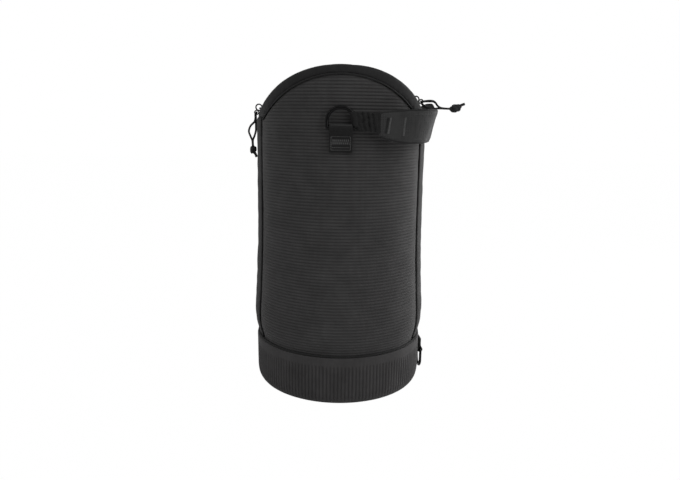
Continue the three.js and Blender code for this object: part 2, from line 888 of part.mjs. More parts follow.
add('bartack_front_1', bartack(bartackPlaces[0], -1), 0x707070, 0.7);
add('bartack_front_2', bartack(bartackPlaces[1], -1), 0x707070, 0.7);
add('bartack_rear_1', bartack(bartackPlaces[0], 1), 0x707070, 0.7);
add('bartack_rear_2', bartack(bartackPlaces[1], 1), 0x707070, 0.7);

// Small hanging ring and its tab at the right of the cup
const cupTabFoot = cupOuter + cupFlare + layerGap;
const cupTabThick = 1.8;
const cupLoopInner = cupRingWire / 2 + layerGap;
const cupLoopOuter = cupLoopInner + 1;
const cupRingPlane = cupOuter + cupFlare + cupLoopOuter + 0.1;
const cupTab = cut(
  joined(
    rodAlongX(cupLoopOuter, cupTabHalfWidth, -cupRingPlane, cupRingBar),
    box(
      [-cupTabHalfWidth, -cupTabFoot - cupTabThick, cupRingBar],
      [cupTabHalfWidth, -cupTabFoot, cupTabTop],
    ),
  ),
  rodAlongX(cupLoopInner, cupTabHalfWidth + 1, -cupRingPlane, cupRingBar),
);
add('cup_ring_tab', cupTab.rotateZ(radians(cupRingAngle)), webbing, 0.9);
const cupRingPath = dPath(cupRingRadius, cupRingLeg, cupRingCorner).map(([a, b]) => [a, cupRingBar - b]);
const cupRing = bentWire(cupRingPath, cupRingWire / 2, -cupRingPlane);
add('cup_ring', cupRing.rotateZ(radians(cupRingAngle)), metalDark, 0.25, 0.9);

export default group;
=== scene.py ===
import bpy
import math
from mathutils import Vector, Matrix, noise


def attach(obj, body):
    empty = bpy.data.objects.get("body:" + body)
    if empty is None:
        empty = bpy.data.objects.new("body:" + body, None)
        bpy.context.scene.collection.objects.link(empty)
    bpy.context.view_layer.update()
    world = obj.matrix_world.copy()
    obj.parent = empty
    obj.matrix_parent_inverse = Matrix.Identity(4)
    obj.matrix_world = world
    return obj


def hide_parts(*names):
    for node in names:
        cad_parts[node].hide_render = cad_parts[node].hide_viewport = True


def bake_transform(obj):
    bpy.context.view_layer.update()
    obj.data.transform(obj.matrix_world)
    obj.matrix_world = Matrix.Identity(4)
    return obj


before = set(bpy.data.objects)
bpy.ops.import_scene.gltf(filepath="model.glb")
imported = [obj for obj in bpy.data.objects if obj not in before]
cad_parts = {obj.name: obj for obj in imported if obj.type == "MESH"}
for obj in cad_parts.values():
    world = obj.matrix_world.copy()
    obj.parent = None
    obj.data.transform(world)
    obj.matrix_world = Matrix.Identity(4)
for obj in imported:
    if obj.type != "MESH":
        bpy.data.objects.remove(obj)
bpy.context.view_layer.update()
bpy.context.scene.view_settings.view_transform = "Standard"
print("frame loaded")

mm = 0.001
shape = {
    "bodyRadius": 74.0, "archCentre": 197.276, "archRadius": 78.3, "shoulder": 240.8, "wallBottom": 9.0,
    "sideAngle": 67.0, "seamHalf": 0.85, "edgeGap": 0.2, "bindingTop": 46.1,
    "ringPlane": 77.7, "ringCentre": 239.3, "ringBar": 234.6, "ringRadius": 11.0,
}
# swell of the padded wall: height above the rim binding, and how far it stands out there
swellLine = [(-40, 0.0), (1, 0.0), (4, 0.75), (7, 1.6), (10, 2.35), (14, 2.94), (19, 3.17), (24, 3.2),
             (30, 2.98), (35, 2.6), (46, 1.95), (58, 1.45), (72, 0.85), (88, 0.35), (106, 0.05), (240, 0.0)]


def clamped(value):
    return max(0.0, min(1.0, value))


def eased(t):
    return t * t * (3 - 2 * t)


def swellAt(z):
    rise = z - shape["bindingTop"]
    for (a, low), (b, high) in zip(swellLine, swellLine[1:]):
        if rise <= b:
            t = max(0.0, (rise - a) / (b - a))
            return low + (high - low) * t
    return 0.0


def clearSelection():
    if bpy.context.object and bpy.context.object.mode != "OBJECT":
        bpy.ops.object.mode_set(mode="OBJECT")
    bpy.ops.object.select_all(action="DESELECT")


def pick(obj):
    clearSelection()
    obj.select_set(True)
    bpy.context.view_layer.objects.active = obj
    return obj


def addObject(name, data):
    obj = bpy.data.objects.new(name, data)
    bpy.context.scene.collection.objects.link(obj)
    return obj


def around(radius, degrees, height):
    a = math.radians(degrees)
    return Vector((radius * math.sin(a), -radius * math.cos(a), height))


def evenly(low, high, steps):
    return [low + (high - low) * i / steps for i in range(steps + 1)]


def onArch(radius, degrees, y):
    a = math.radians(degrees)
    return Vector((radius * math.sin(a), y, shape["archCentre"] + radius * math.cos(a)))


def ripple(x, y, z, size, seed=0.0):
    # smooth unevenness between -1 and 1, the same on every run
    return noise.noise(Vector((x / size + seed, y / size - seed, z / size + 0.37 * seed)))


def applyModifier(obj, kind, **settings):
    pick(obj)
    made = obj.modifiers.new(kind.lower(), kind)
    for key, value in settings.items():
        setattr(made, key, value)
    bpy.ops.object.modifier_apply(modifier=made.name)
    return obj


def softenEdges(obj, width, segments, angle):
    # a small rounding on the edges sharper than this angle
    return applyModifier(obj, "BEVEL", width=width * mm, segments=segments, limit_method="ANGLE",
                         angle_limit=math.radians(angle))


def remeshed(obj, voxel, iterations):
    # rounds a block to the form of a foam pad
    applyModifier(obj, "REMESH", mode="VOXEL", voxel_size=voxel * mm, adaptivity=0.0)
    return applyModifier(obj, "SMOOTH", factor=0.5, iterations=iterations)


def mendMesh(obj, distance=0.00002):
    pick(obj)
    bpy.ops.object.mode_set(mode="EDIT")
    bpy.ops.mesh.select_all(action="SELECT")
    bpy.ops.mesh.remove_doubles(threshold=distance)
    bpy.ops.mesh.dissolve_degenerate(threshold=0.000005)
    bpy.ops.mesh.select_all(action="SELECT")
    bpy.ops.mesh.normals_make_consistent(inside=False)
    bpy.ops.object.mode_set(mode="OBJECT")
    return obj


def smoothLook(obj, angle=40):
    pick(obj)
    bpy.ops.object.shade_smooth_by_angle(angle=math.radians(angle))
    return obj


def clothGrid(name, columns, rows, place):
    # a grid primitive laid out by place(u, v), which gives millimetres
    clearSelection()
    bpy.ops.mesh.primitive_grid_add(x_subdivisions=columns, y_subdivisions=rows, size=2)
    obj = bpy.context.object
    obj.name = name
    obj.data.name = name
    for vertex in obj.data.vertices:
        u = (vertex.co.x + 1) / 2
        v = (vertex.co.y + 1) / 2
        vertex.co = place(u, v) * mm
    return obj


def thicken(obj, thickness, offset=-1.0):
    return applyModifier(obj, "SOLIDIFY", thickness=thickness * mm, offset=offset, use_even_offset=False)


def clothPiece(name, columns, rows, place, thickness, angle, offset=-1.0):
    obj = mendMesh(clothGrid(name, columns, rows, place), 0.00001)
    return smoothLook(thicken(obj, thickness, offset), angle)


def wire(name, points, radius, closed=False, sides=4, radii=None):
    # a round wire or cord along the points, in millimetres
    curve = bpy.data.curves.new(name, "CURVE")
    curve.dimensions = "3D"
    curve.bevel_depth = radius * mm
    curve.bevel_resolution = sides
    curve.use_fill_caps = True
    spline = curve.splines.new("POLY")
    spline.points.add(len(points) - 1)
    for i, point in enumerate(points):
        spline.points[i].co = (point[0] * mm, point[1] * mm, point[2] * mm, 1)
        if radii:
            spline.points[i].radius = radii[i]
    spline.use_cyclic_u = closed
    pick(addObject(name, curve))
    bpy.ops.object.convert(target="MESH")
    obj = bpy.context.object
    mendMesh(obj)
    return smoothLook(obj, 60)


def smoothPath(points, perSpan):
    # a Catmull-Rom line through the points
    last = len(points) - 1
    path = []
    for i in range(last):
        a = Vector(points[max(i - 1, 0)])
        b = Vector(points[i])
        c = Vector(points[i + 1])
        d = Vector(points[min(i + 2, last)])
        for k in range(perSpan):
            t = k / perSpan
            path.append(0.5 * ((2 * b) + (c - a) * t + (2 * a - 5 * b + 4 * c - d) * t * t
                               + (3 * b - a - 3 * c + d) * t ** 3))
    path.append(Vector(points[-1]))
    return path


def joinPieces(name, pieces):
    clearSelection()
    for piece in pieces:
        piece.select_set(True)
    bpy.context.view_layer.objects.active = pieces[0]
    bpy.ops.object.join()
    obj = bpy.context.object
    obj.name = name
    obj.data.name = name
    return obj


def cadCopy(node, name):
    # the CAD node's own mesh, merged, as the start of a softer or finer piece
    obj = addObject(name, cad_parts[node].data.copy())
    obj.data.materials.clear()
    return mendMesh(obj)


def movedCopy(obj, name, matrix):
    clearSelection()
    other = addObject(name, obj.data.copy())
    other.data.transform(matrix)
    return other


def halfTurned(obj, name):
    # a copy turned half way about the upright axis
    return movedCopy(obj, name, Matrix.Rotation(math.pi, 4, "Z"))


# Camera first: eye level near the top of the case, looking slightly down
cameraPlan = {"place": (0.5, -566.5, 244.6), "pitch": 11.4, "roll": 0.8, "lens": 32.82}
cameraData = bpy.data.cameras.new("camera")
camera = addObject("camera", cameraData)
cameraData.sensor_width = 36
cameraData.lens = cameraPlan["lens"]
cameraData.clip_start = 0.01
camera.location = Vector(cameraPlan["place"]) * mm
tilt = Matrix.Rotation(math.radians(90 - cameraPlan["pitch"]), 4, "X")
roll = Matrix.Rotation(math.radians(cameraPlan["roll"]), 4, "Z")
camera.rotation_euler = (tilt @ roll).to_euler()
bpy.context.scene.camera = camera


def feed(tree, node, inputs):
    # each input gets a value or the socket that drives it
    for key, value in inputs.items():
        if isinstance(value, bpy.types.NodeSocket):
            tree.links.new(value, node.inputs[key])
        else:
            node.inputs[key].default_value = value


def addNode(tree, kind, inputs=None, **settings):
    node = tree.nodes.new("ShaderNode" + kind)
    for key, value in settings.items():
        setattr(node, key, value)
    feed(tree, node, inputs or {})
    return node


def newMaterial(name):
    material = bpy.data.materials.new(name)
    material.use_nodes = True
    return material, material.node_tree, material.node_tree.nodes["Principled BSDF"]


def scaled(color, factor):
    return [c * factor for c in color]


def colorRamp(tree, factor, low, high, start=0.0, stop=1.0):
    ramp = addNode(tree, "ValToRGB", {"Fac": factor})
    first, last = ramp.color_ramp.elements
    first.position, last.position = start, stop
    first.color, last.color = (*low, 1), (*high, 1)
    return ramp.outputs["Color"]


def multiplied(tree, first, second, factor):
    mix = addNode(tree, "Mix", {"Factor": factor}, data_type="RGBA", blend_type="MULTIPLY")
    feed(tree, mix, {6: first, 7: second})
    return mix.outputs[2]


def ribValleyShade(tree, vector, color, ribs):
    # painted shade: the colour is darker in the valleys between the ribs, which run level or upright, and a
    # little lighter on the ridges
    def step(operation, *values):
        return addNode(tree, "Math", dict(enumerate(values)), operation=operation).outputs[0]

    split = addNode(tree, "SeparateXYZ", {0: vector})
    if ribs["run"] == "level":
        phase = step("MULTIPLY", split.outputs["Z"], 2 * math.pi / (ribs["pitch"] * mm))
    else:
        turn = step("ARCTAN2", split.outputs["X"], step("MULTIPLY", split.outputs["Y"], -1.0))
        phase = step("MULTIPLY", turn, float(ribs["count"]))
    valley = step("MULTIPLY_ADD", step("COSINE", phase), 0.5, 0.5)
    valley = step("POWER", valley, ribs["narrow"])
    across = step("ABSOLUTE", split.outputs["X"])
    for source, low, high in ribs["limits"]:
        measure = across if source == "across" else split.outputs["Z"]
        span = addNode(tree, "MapRange", {"From Min": low * mm, "From Max": high * mm, "Value": measure})
        valley = step("MULTIPLY", valley, span.outputs["Result"])
    shade = step("MULTIPLY_ADD", valley, -ribs["dark"], 1.0 + 0.35 * ribs["dark"])
    return multiplied(tree, color, shade, 1.0)


def fabricMaterial(name, color, weave=0.55, bump=0.35, sheen=0.25, roughness=0.8, spread=0.22, ribs=None):
    # woven cloth: crossed thread waves, uneven dye, fine lint and a soft sheen
    material, tree, shader = newMaterial(name)
    place = addNode(tree, "TexCoord").outputs["Object"]
    threadWave = {"Scale": 314.0 / weave / 2, "Distortion": 1.2, "Detail": 2.0, "Detail Scale": 1.6,
                  "Vector": place}
    waves = [addNode(tree, "TexWave", threadWave, wave_type="BANDS", bands_direction=axis).outputs["Fac"]
             for axis in ("X", "Z", "Y")]
    height = waves[0]
    for other in waves[1:]:
        height = addNode(tree, "Math", {0: height, 1: other}, operation="MAXIMUM").outputs[0]
    grain = addNode(tree, "TexNoise", {"Scale": 55, "Detail": 6, "Roughness": 0.62, "Vector": place})
    lint = addNode(tree, "TexNoise", {"Scale": 1600, "Detail": 3, "Vector": place}).outputs["Fac"]
    uneven = grain.outputs["Fac"]
    dye = colorRamp(tree, uneven, scaled(color, 1 - spread), scaled(color, 1 + spread), 0.3, 0.72)
    shadow = colorRamp(tree, height, (0.55, 0.55, 0.56), (1.25, 1.25, 1.25))
    color = multiplied(tree, dye, shadow, 0.55)
    # painted shade in the valleys between the ribs, when rib settings are given
    if ribs:
        color = ribValleyShade(tree, place, color, ribs)
    rough = addNode(tree, "MapRange", {"To Min": roughness - 0.08, "To Max": min(1.0, roughness + 0.1),
                                       "Value": lint})
    total = addNode(tree, "Math", {0: lint, 1: 0.35, 2: height}, operation="MULTIPLY_ADD")
    relief = addNode(tree, "Bump", {"Strength": bump, "Distance": weave * 0.35 * mm,
                                    "Height": total.outputs[0]})
    feed(tree, shader, {
        "Base Color": color, "Roughness": rough.outputs["Result"], "Normal": relief.outputs["Normal"],
        "Sheen Weight": sheen, "Sheen Roughness": 0.45, "Specular IOR Level": 0.3,
    })
    return material


def hardMaterial(name, color, roughness, metallic, bump=0.05, scale=900, specular=0.5, spread=0.15):
    # coated metal or moulded plastic: fine unevenness, small rubs in the finish
    material, tree, shader = newMaterial(name)
    place = addNode(tree, "TexCoord").outputs["Object"]
    fine = addNode(tree, "TexNoise", {"Scale": scale, "Detail": 5, "Vector": place})
    rubs = addNode(tree, "TexNoise", {"Scale": scale / 6, "Detail": 7, "Vector": place}).outputs["Fac"]
    tone = colorRamp(tree, rubs, scaled(color, 1 - spread), scaled(color, 1 + 2 * spread), 0.35, 0.75)
    rough = addNode(tree, "MapRange", {"To Min": roughness * 0.7, "To Max": roughness * 1.4, "Value": rubs})
    relief = addNode(tree, "Bump", {"Strength": bump, "Distance": 0.1 * mm, "Height": fine.outputs["Fac"]})
    feed(tree, shader, {
        "Base Color": tone, "Roughness": rough.outputs["Result"], "Normal": relief.outputs["Normal"],
        "Metallic": metallic, "Specular IOR Level": specular,
    })
    return material


# the rib settings of the panel and cup cloths paint shade into the valleys between the ribs
fabrics = {
    "panel": fabricMaterial("ribbedNylon", (0.0325, 0.0316, 0.0318), weave=0.55, bump=0.4, sheen=0.04,
                            ribs={"run": "level", "pitch": 2.65, "narrow": 1.3, "dark": 0.42,
                                  "limits": [("across", 67, 61)]}),
    "crown": fabricMaterial("crownNylon", (0.0115, 0.0113, 0.0115), weave=0.45, bump=0.3, sheen=0.04),
    "side": fabricMaterial("sideNylon", (0.022, 0.0216, 0.0216), weave=0.5, bump=0.35, sheen=0.02),
    "cup": fabricMaterial("cupNylon", (0.031, 0.0295, 0.030), weave=0.5, bump=0.35, sheen=0.04,
                          ribs={"run": "upright", "count": 152, "narrow": 1.3, "dark": 0.42,
                                "limits": [("height", 37.2, 35.6), ("height", 3.5, 7.0),
                                           ("across", 66, 42)]}),
    "seam": fabricMaterial("seamPiping", (0.010, 0.010, 0.010), weave=0.8, bump=0.5, sheen=0.03),
    "binding": fabricMaterial("bindingTape", (0.010, 0.010, 0.010), weave=0.8, bump=0.5, sheen=0.02),
    "webbing": fabricMaterial("flatWebbing", (0.0055, 0.0055, 0.0055), weave=0.9, bump=0.7, sheen=0.02),
    "strap": fabricMaterial("strapWebbing", (0.0265, 0.0265, 0.0265), weave=0.9, bump=0.7, sheen=0.03),
    "cord": fabricMaterial("braidedCord", (0.014, 0.014, 0.0145), weave=0.5, bump=0.8, sheen=0.03),
    "lining": fabricMaterial("brushedLining", (0.05, 0.052, 0.056), weave=1.4, bump=0.3, sheen=0.5),
    "foam": fabricMaterial("foamEdge", (0.07, 0.07, 0.07), weave=2.4, bump=0.25, sheen=0.0, spread=0.3),
    "thread": fabricMaterial("paleThread", (0.08, 0.08, 0.08), weave=0.4, bump=0.6, sheen=0.06),
    "boxThread": fabricMaterial("boxThread", (0.085, 0.085, 0.085), weave=0.4, bump=0.6, sheen=0.06),
    "tape": fabricMaterial("zipTape", (0.015, 0.015, 0.015), weave=0.7, bump=0.6, sheen=0.04),
}
hard = {
    "metal": hardMaterial("blackCoatedMetal", (0.002, 0.002, 0.0021), 0.12, 0.0, specular=0.16),
    "coil": hardMaterial("nylonCoil", (0.014, 0.014, 0.015), 0.4, 0.0),
    "board": hardMaterial("floorBoard", (0.02, 0.02, 0.02), 0.6, 0.0, bump=0.2, scale=400),
}


def dress(obj, material, slotName, body, *nodes):
    obj.data.materials.clear()
    obj.data.materials.append(material)
    if body:
        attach(obj, body)
    if nodes:
        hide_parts(*nodes)
    return obj


def dressTwins(piece, twinName, material, slotName, nodes=()):
    # a piece and its half-turned twin on the other side of the case
    twin = halfTurned(piece, twinName)
    for i, obj in enumerate((piece, twin)):
        dress(obj, material, slotName, "case", *nodes[i:i + 1])


print("materials ready")

# Pull cords: each a loop of braided cord through the puller's eye, both strands ending in a knot
cordPlan = {"radius": 0.8, "pullCentre": 90.75, "eyeDistance": 5.0, "strandGap": 0.5, "plump": 1.12,
                "thickAt": 7.5, "thickReach": 6.5, "tailRadius": 1.2}
cords = {
    "left": {
        "angle": -54.2, "eye": (-0.42, 0, -0.907), "knot": (-3.6, 0, -33), "knotSize": (3.1, 2.6, 4.0),
        "turn": 16, "lay": "hanging", "thick": 0.1,
        "near": [(-0.1, -0.9, -0.1), (-0.5, -1.5, -0.6), (-1, -1.8, -1.9), (-1, -1.2, -4.6),
                 (-1.9, -0.9, -8.2), (-5.4, -0.85, -11.8), (-7.1, -0.85, -16.5), (-5.7, -0.85, -21),
                 (-4.2, -0.85, -24.5), (-3.9, -0.85, -28)],
        "far": [(-0.1, 0.9, -0.1), (-0.5, 1.5, -0.6), (-1, 1.8, -1.9), (-0.9, 1.2, -4.6),
                (-0.9, 0.9, -8.2), (-0.9, 0.85, -11.8), (-1.1, 0.85, -16.5), (-2.4, 0.85, -21),
                (-3.8, 0.85, -24.5), (-3.8, 0.85, -28)],
        "tail": [(-1.7, 0, -36.6), (-0.5, 0.3, -39.6)],
    },
    "right": {
        "angle": 47, "eye": (0.933, 0, -0.36), "knot": (31, 0, -5.5), "knotSize": (5.6, 3.0, 3.7),
        "turn": -14, "lay": "loose", "thick": 0.4,
        "near": [(0.1, -0.9, -0.05), (0.6, -1.5, -0.1), (1.8, -1.8, 0), (6, -1.3, 0.4),
                 (10.5, -0.9, 0.3), (13, -0.85, -1.2), (14.8, -0.85, -3.6), (17.6, -0.85, -5.3),
                 (22, -0.85, -5.9), (26.5, -0.85, -5.9)],
        "far": [(0.1, 0.9, -0.05), (0.5, 1.5, -0.5), (1.2, 1.8, -2), (3.6, 1.3, -4.2),
                (7.5, 0.9, -5.6), (11.5, 0.85, -6.1), (14.8, 0.85, -5.9), (18, 0.85, -5.8),
                (22, 0.85, -5.9), (26.5, 0.85, -5.9)],
        "tail": [(35, 0, -3.2), (39, 0.3, -1.6)],
    },
}
pullers = {}


def pullCord(side):
    plan = cords[side]
    ring = onArch(cordPlan["pullCentre"], plan["angle"], 0)
    eye = ring + Vector(plan["eye"]) * cordPlan["eyeDistance"]
    pullers[side] = (ring, eye)
    knot = eye + Vector(plan["knot"])
    near = [eye + Vector(p) for p in plan["near"]]
    far = [eye + Vector(p) for p in plan["far"]]
    gap = Vector((0, cordPlan["strandGap"], 0))
    route = [knot - gap, *reversed(near), eye.copy(), *far, knot + gap]
    path = smoothPath(route, 6)
    name = "pullCord" + side.capitalize()
    # thickest a little way out from the eye
    offsets = [abs((p - eye).length - cordPlan["thickAt"]) / cordPlan["thickReach"] for p in path]
    girth = [cordPlan["plump"] + plan["thick"] * max(0.0, 1 - offset) for offset in offsets]
    cord = wire(name, path, cordPlan["radius"], sides=4, radii=girth)
    dress(cord, fabrics["cord"], "cord", "puller_" + side, "pull_cord_" + side)
    tailPath = smoothPath([knot, *(eye + Vector(p) for p in plan["tail"])], 6)
    tail = wire(name + "_tail", tailPath, cordPlan["tailRadius"], sides=4)
    clearSelection()
    bpy.ops.mesh.primitive_uv_sphere_add(segments=40, ring_count=28, radius=1 * mm, location=(0, 0, 0))
    ball = bpy.context.object
    ball.name = name + "_knot"
    turn = Matrix.Rotation(math.radians(plan["turn"]), 3, "Y")
    size = plan["knotSize"]
    for vertex in ball.data.vertices:
        p = vertex.co / mm
        # grooves where the knot's turns lie side by side
        wrap = math.sin(7.0 * (p.x + 0.4 * p.z) + 4.0 * p.y) * 0.11 + 0.1 * ripple(p.x, p.y, p.z, 0.8, 3)
        p = p * (0.93 + wrap)
        p = Vector((p.x * size[0], p.y * size[1], p.z * size[2]))
        vertex.co = (turn @ p + knot) * mm
    smoothLook(ball, 80)
    for piece in (tail, ball):
        dress(piece, fabrics["cord"], "cord", "puller_" + side, "pull_cord_" + side)


pullCord("left")
pullCord("right")
print("pull cords made")

# Pullers: a loop of wire with a small eye for the cord, and the sliders they hang from
pullerPlan = {"loopRadius": 2.7, "loopWire": 0.6, "eyeRadius": 1.8, "eyeWire": 0.55, "sliderEdge": 0.28}


def ringOf(centre, radius, count=48):
    turns = [2 * math.pi * i / count for i in range(count)]
    return [centre + Vector((radius * math.cos(t), 0, radius * math.sin(t))) for t in turns]


for side, (ringCentre, eye) in pullers.items():
    loopPath = ringOf(ringCentre, pullerPlan["loopRadius"])
    eyePath = ringOf(eye, pullerPlan["eyeRadius"], 36)
    loopPart = wire("pullLoop", loopPath, pullerPlan["loopWire"], closed=True, sides=5)
    eyePart = wire("pullEye", eyePath, pullerPlan["eyeWire"], closed=True, sides=5)
    puller = joinPieces("pullRing" + side.capitalize(), [loopPart, eyePart])
    dress(puller, hard["metal"], "black_metal", "puller_" + side, "pull_ring_" + side)
    slider = cadCopy("slider_" + side, "slider" + side.capitalize())
    softenEdges(slider, pullerPlan["sliderEdge"], 3, 35)
    smoothLook(slider, 35)
    dress(slider, hard["metal"], "black_metal", "slider_" + side, "slider_" + side)
print("pullers made")

# Front and rear panels: real horizontal ribs, a seam allowance along the arch and the sides
panelPlan = {
    "ribPitch": 2.65, "ribHeight": 0.6, "columns": 60, "rowsPerRib": 6, "thickness": 1.6, "sunk": 0.2,
    "seamEdge": 1.2, "margin": 2.6, "plainFrom": 64, "plainFade": 6, "rolledDepth": 0.5, "rolledEdge": 1.3,
}


def archTop(x):
    reach = shape["archRadius"]
    if abs(x) >= reach:
        return shape["shoulder"]
    return max(shape["shoulder"], shape["archCentre"] + math.sqrt(reach * reach - x * x))


panelEnd = shape["sideAngle"] - shape["seamHalf"]
panelTop = shape["archCentre"] + shape["archRadius"]
panelRows = int((panelTop - shape["wallBottom"]) / panelPlan["ribPitch"] * panelPlan["rowsPerRib"])


def panelPlace(u, v):
    angle = -panelEnd + 2 * panelEnd * u
    x = shape["bodyRadius"] * math.sin(math.radians(angle))
    z = shape["wallBottom"] + (panelTop - shape["wallBottom"]) * v
    top = archTop(x) - shape["edgeGap"]
    z = min(z, top)
    edge = min((top - z), (panelEnd - abs(angle)) * math.pi / 180 * shape["bodyRadius"])
    # the ribs flatten at the seams and on the plain strip beside them
    fade = clamped((edge - panelPlan["seamEdge"]) / panelPlan["margin"])
    plain = panelPlan["plainFade"]
    fade *= clamped((panelPlan["plainFrom"] + plain / 2 - abs(x)) / plain)
    wave = 0.5 - 0.5 * math.cos(2 * math.pi * z / panelPlan["ribPitch"])
    rib = panelPlan["ribHeight"] * (wave ** 0.5) * fade
    soft = 0.28 * ripple(x, angle, z, 38, 2) + 0.12 * ripple(x, angle, z, 13, 5)
    rolled = panelPlan["rolledDepth"] * max(0.0, 1 - edge / panelPlan["rolledEdge"]) ** 2
    radius = shape["bodyRadius"] + swellAt(z) - panelPlan["sunk"] + soft - rolled + rib
    return around(radius, angle, z)


frontPanel = clothPiece("frontPanel", panelPlan["columns"], panelRows, panelPlace,
                        panelPlan["thickness"], 50)
dressTwins(frontPanel, "rearPanel", fabrics["panel"], "panel_fabric", ("front_panel", "rear_panel"))
print("panels made")

# Side gussets: smooth strips that swell a little between their seams
gussetPlan = {
    "columns": 70, "rows": 230, "thickness": 1.6, "width": 55, "proud": 0.05, "fullness": 0.85,
    "seamDepth": 0.4, "seamReach": 1.6, "topDepth": 0.7, "topReach": 1.8,
}
gussetEnd = 180 - shape["sideAngle"] - shape["seamHalf"]
gussetStart = shape["sideAngle"] + shape["seamHalf"]


def gussetPlace(u, v):
    angle = gussetStart + (gussetEnd - gussetStart) * u
    z = shape["wallBottom"] + (shape["shoulder"] - shape["edgeGap"] - shape["wallBottom"]) * v
    across = math.sin(math.pi * u)
    soft = 0.45 * ripple(angle, 3, z, 19, 7) + 0.3 * ripple(angle, 9, z, 8, 1)
    edge = min(u, 1 - u) * gussetPlan["width"]
    below = shape["shoulder"] - z
    seam = gussetPlan["seamDepth"] * max(0.0, 1 - edge / gussetPlan["seamReach"]) ** 2
    seam += gussetPlan["topDepth"] * max(0.0, 1 - below / gussetPlan["topReach"]) ** 2
    full = gussetPlan["proud"] + gussetPlan["fullness"] * across ** 0.6
    radius = shape["bodyRadius"] + swellAt(z) + full + soft * across ** 0.5 - seam
    return around(radius, angle, z)


rightGusset = clothPiece("sideGussetRight", gussetPlan["columns"], gussetPlan["rows"], gussetPlace,
                         gussetPlan["thickness"], 60)
dressTwins(rightGusset, "sideGussetLeft", fabrics["side"], "panel_fabric",
           ("side_gusset_right", "side_gusset_left"))

# Piping down the four side seams, slightly wavy as sewn cord is
pipingPlan = {
    "radius": 0.72, "low": 46.6, "high": 240.3, "sideRadius": 73.95, "archEnd": 57.2, "archRadius": 78.75,
    "faceRadius": 74.25, "shoulderRadius": 73.7, "shoulderHalf": 24.5,
}
for label, angle in (("front_left", -67), ("front_right", 67), ("rear_right", 113), ("rear_left", 247)):
    points = []
    for z in evenly(pipingPlan["low"], pipingPlan["high"], 109):
        wander = 0.22 * ripple(angle, 1, z, 11, 4)
        out = pipingPlan["sideRadius"] + swellAt(z) + 0.2 * ripple(angle, 5, z, 9, 2)
        points.append(around(out, angle + wander, z))
    pipe = wire("sidePiping_" + label, points, pipingPlan["radius"])
    dress(pipe, fabrics["side"], "binding_tape", "case", "side_piping_" + label)
print("sides made")

# Sewn piping in the seam between the walls and the crown, along the arches and the shoulders
for label, side in (("Front", -1), ("Rear", 1)):
    points = []
    for angle in evenly(-pipingPlan["archEnd"], pipingPlan["archEnd"], 140):
        spot = onArch(pipingPlan["archRadius"] + 0.12 * ripple(angle, 3, side, 9, 4), angle, 0)
        depth = math.sqrt(max(1.0, pipingPlan["faceRadius"] ** 2 - spot.x ** 2))
        points.append((spot.x, side * depth, spot.z))
    seam = wire("archPiping" + label, points, pipingPlan["radius"], sides=3)
    dress(seam, fabrics["seam"], "binding_tape", "case")
for label, middle in (("Right", 90), ("Left", 270)):
    half = pipingPlan["shoulderHalf"]
    points = [around(pipingPlan["shoulderRadius"], angle, shape["shoulder"] + 0.15)
              for angle in evenly(middle - half, middle + half, 60)]
    seam = wire("shoulderPiping" + label, points, pipingPlan["radius"], sides=3)
    dress(seam, fabrics["seam"], "binding_tape", "case")

# Crown halves: padding that rounds over at the arch seam and at the zip
crownPlan = {
    "voxel": 1.15, "iterations": 9, "puffRight": 2.5, "puffLeft": 1.1, "puffFrom": 6, "puffSpan": 54,
    "skinFrom": 78.6, "skinDepth": 7.4, "zipStrip": 9, "zipFade": 16,
}


def crownHalf(name):
    obj = remeshed(cadCopy("crown_front", name), crownPlan["voxel"], crownPlan["iterations"])
    for vertex in obj.data.vertices:
        p = vertex.co / mm
        puff = 0.22 * ripple(p.x, p.y, p.z, 22, 8) + 0.08 * ripple(p.x, p.y, p.z, 7, 3)
        spoke = Vector((p.x, 0, p.z - shape["archCentre"]))
        turn = math.degrees(math.atan2(abs(p.x), spoke.z)) - crownPlan["puffFrom"]
        # the padding is fullest half way down each shoulder, away from the zip
        full = max(0.0, math.sin(math.pi * turn / crownPlan["puffSpan"])) if turn > 0 else 0.0
        outer = clamped((spoke.length - crownPlan["skinFrom"]) / crownPlan["skinDepth"])
        away = clamped((abs(p.y) - crownPlan["zipStrip"]) / crownPlan["zipFade"])
        most = crownPlan["puffRight"] if p.x > 0 else crownPlan["puffLeft"]
        puff += most * full * outer * eased(away)
        vertex.co = (p + spoke.normalized() * puff) * mm
    applyModifier(obj, "SMOOTH", factor=0.4, iterations=3)
    return smoothLook(obj, 80)


crownFront = crownHalf("crownFront")
crownRear = halfTurned(crownFront, "crownRear")
for crown, node in ((crownFront, "crown_front"), (crownRear, "crown_rear")):
    dress(crown, fabrics["crown"], "crown_fabric", None, node)

# Zip: two tapes, each with a moulded coil whose noses pass between those of the other half
zipPlan = {
    "tapeEnd": 41.4, "tapeRadius": 84.25, "tapeEdge": 1.05, "tapeWidth": 4.5, "tapeThickness": 0.7,
    "coilEnd": 41.2, "coilRadius": 85.3, "coilRise": 0.5, "coilMiddle": 1.6, "coilReach": 1.66,
    "coilWire": 0.36, "pitch": 1.6,
}


def blendToJaw(obj):
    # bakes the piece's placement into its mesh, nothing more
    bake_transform(obj)


def tapeHalf(name, sign):
    def place(u, v):
        y = sign * (zipPlan["tapeEdge"] + zipPlan["tapeWidth"] * v)
        angle = -zipPlan["tapeEnd"] + 2 * zipPlan["tapeEnd"] * u
        return onArch(zipPlan["tapeRadius"] - 0.25 * v * v, angle, y)
    obj = clothGrid(name, 120, 5, place)
    mendMesh(obj)
    upward = obj.data.polygons[0].normal.z > 0
    thicken(obj, zipPlan["tapeThickness"], -1.0 if upward else 1.0)
    return smoothLook(obj, 40)


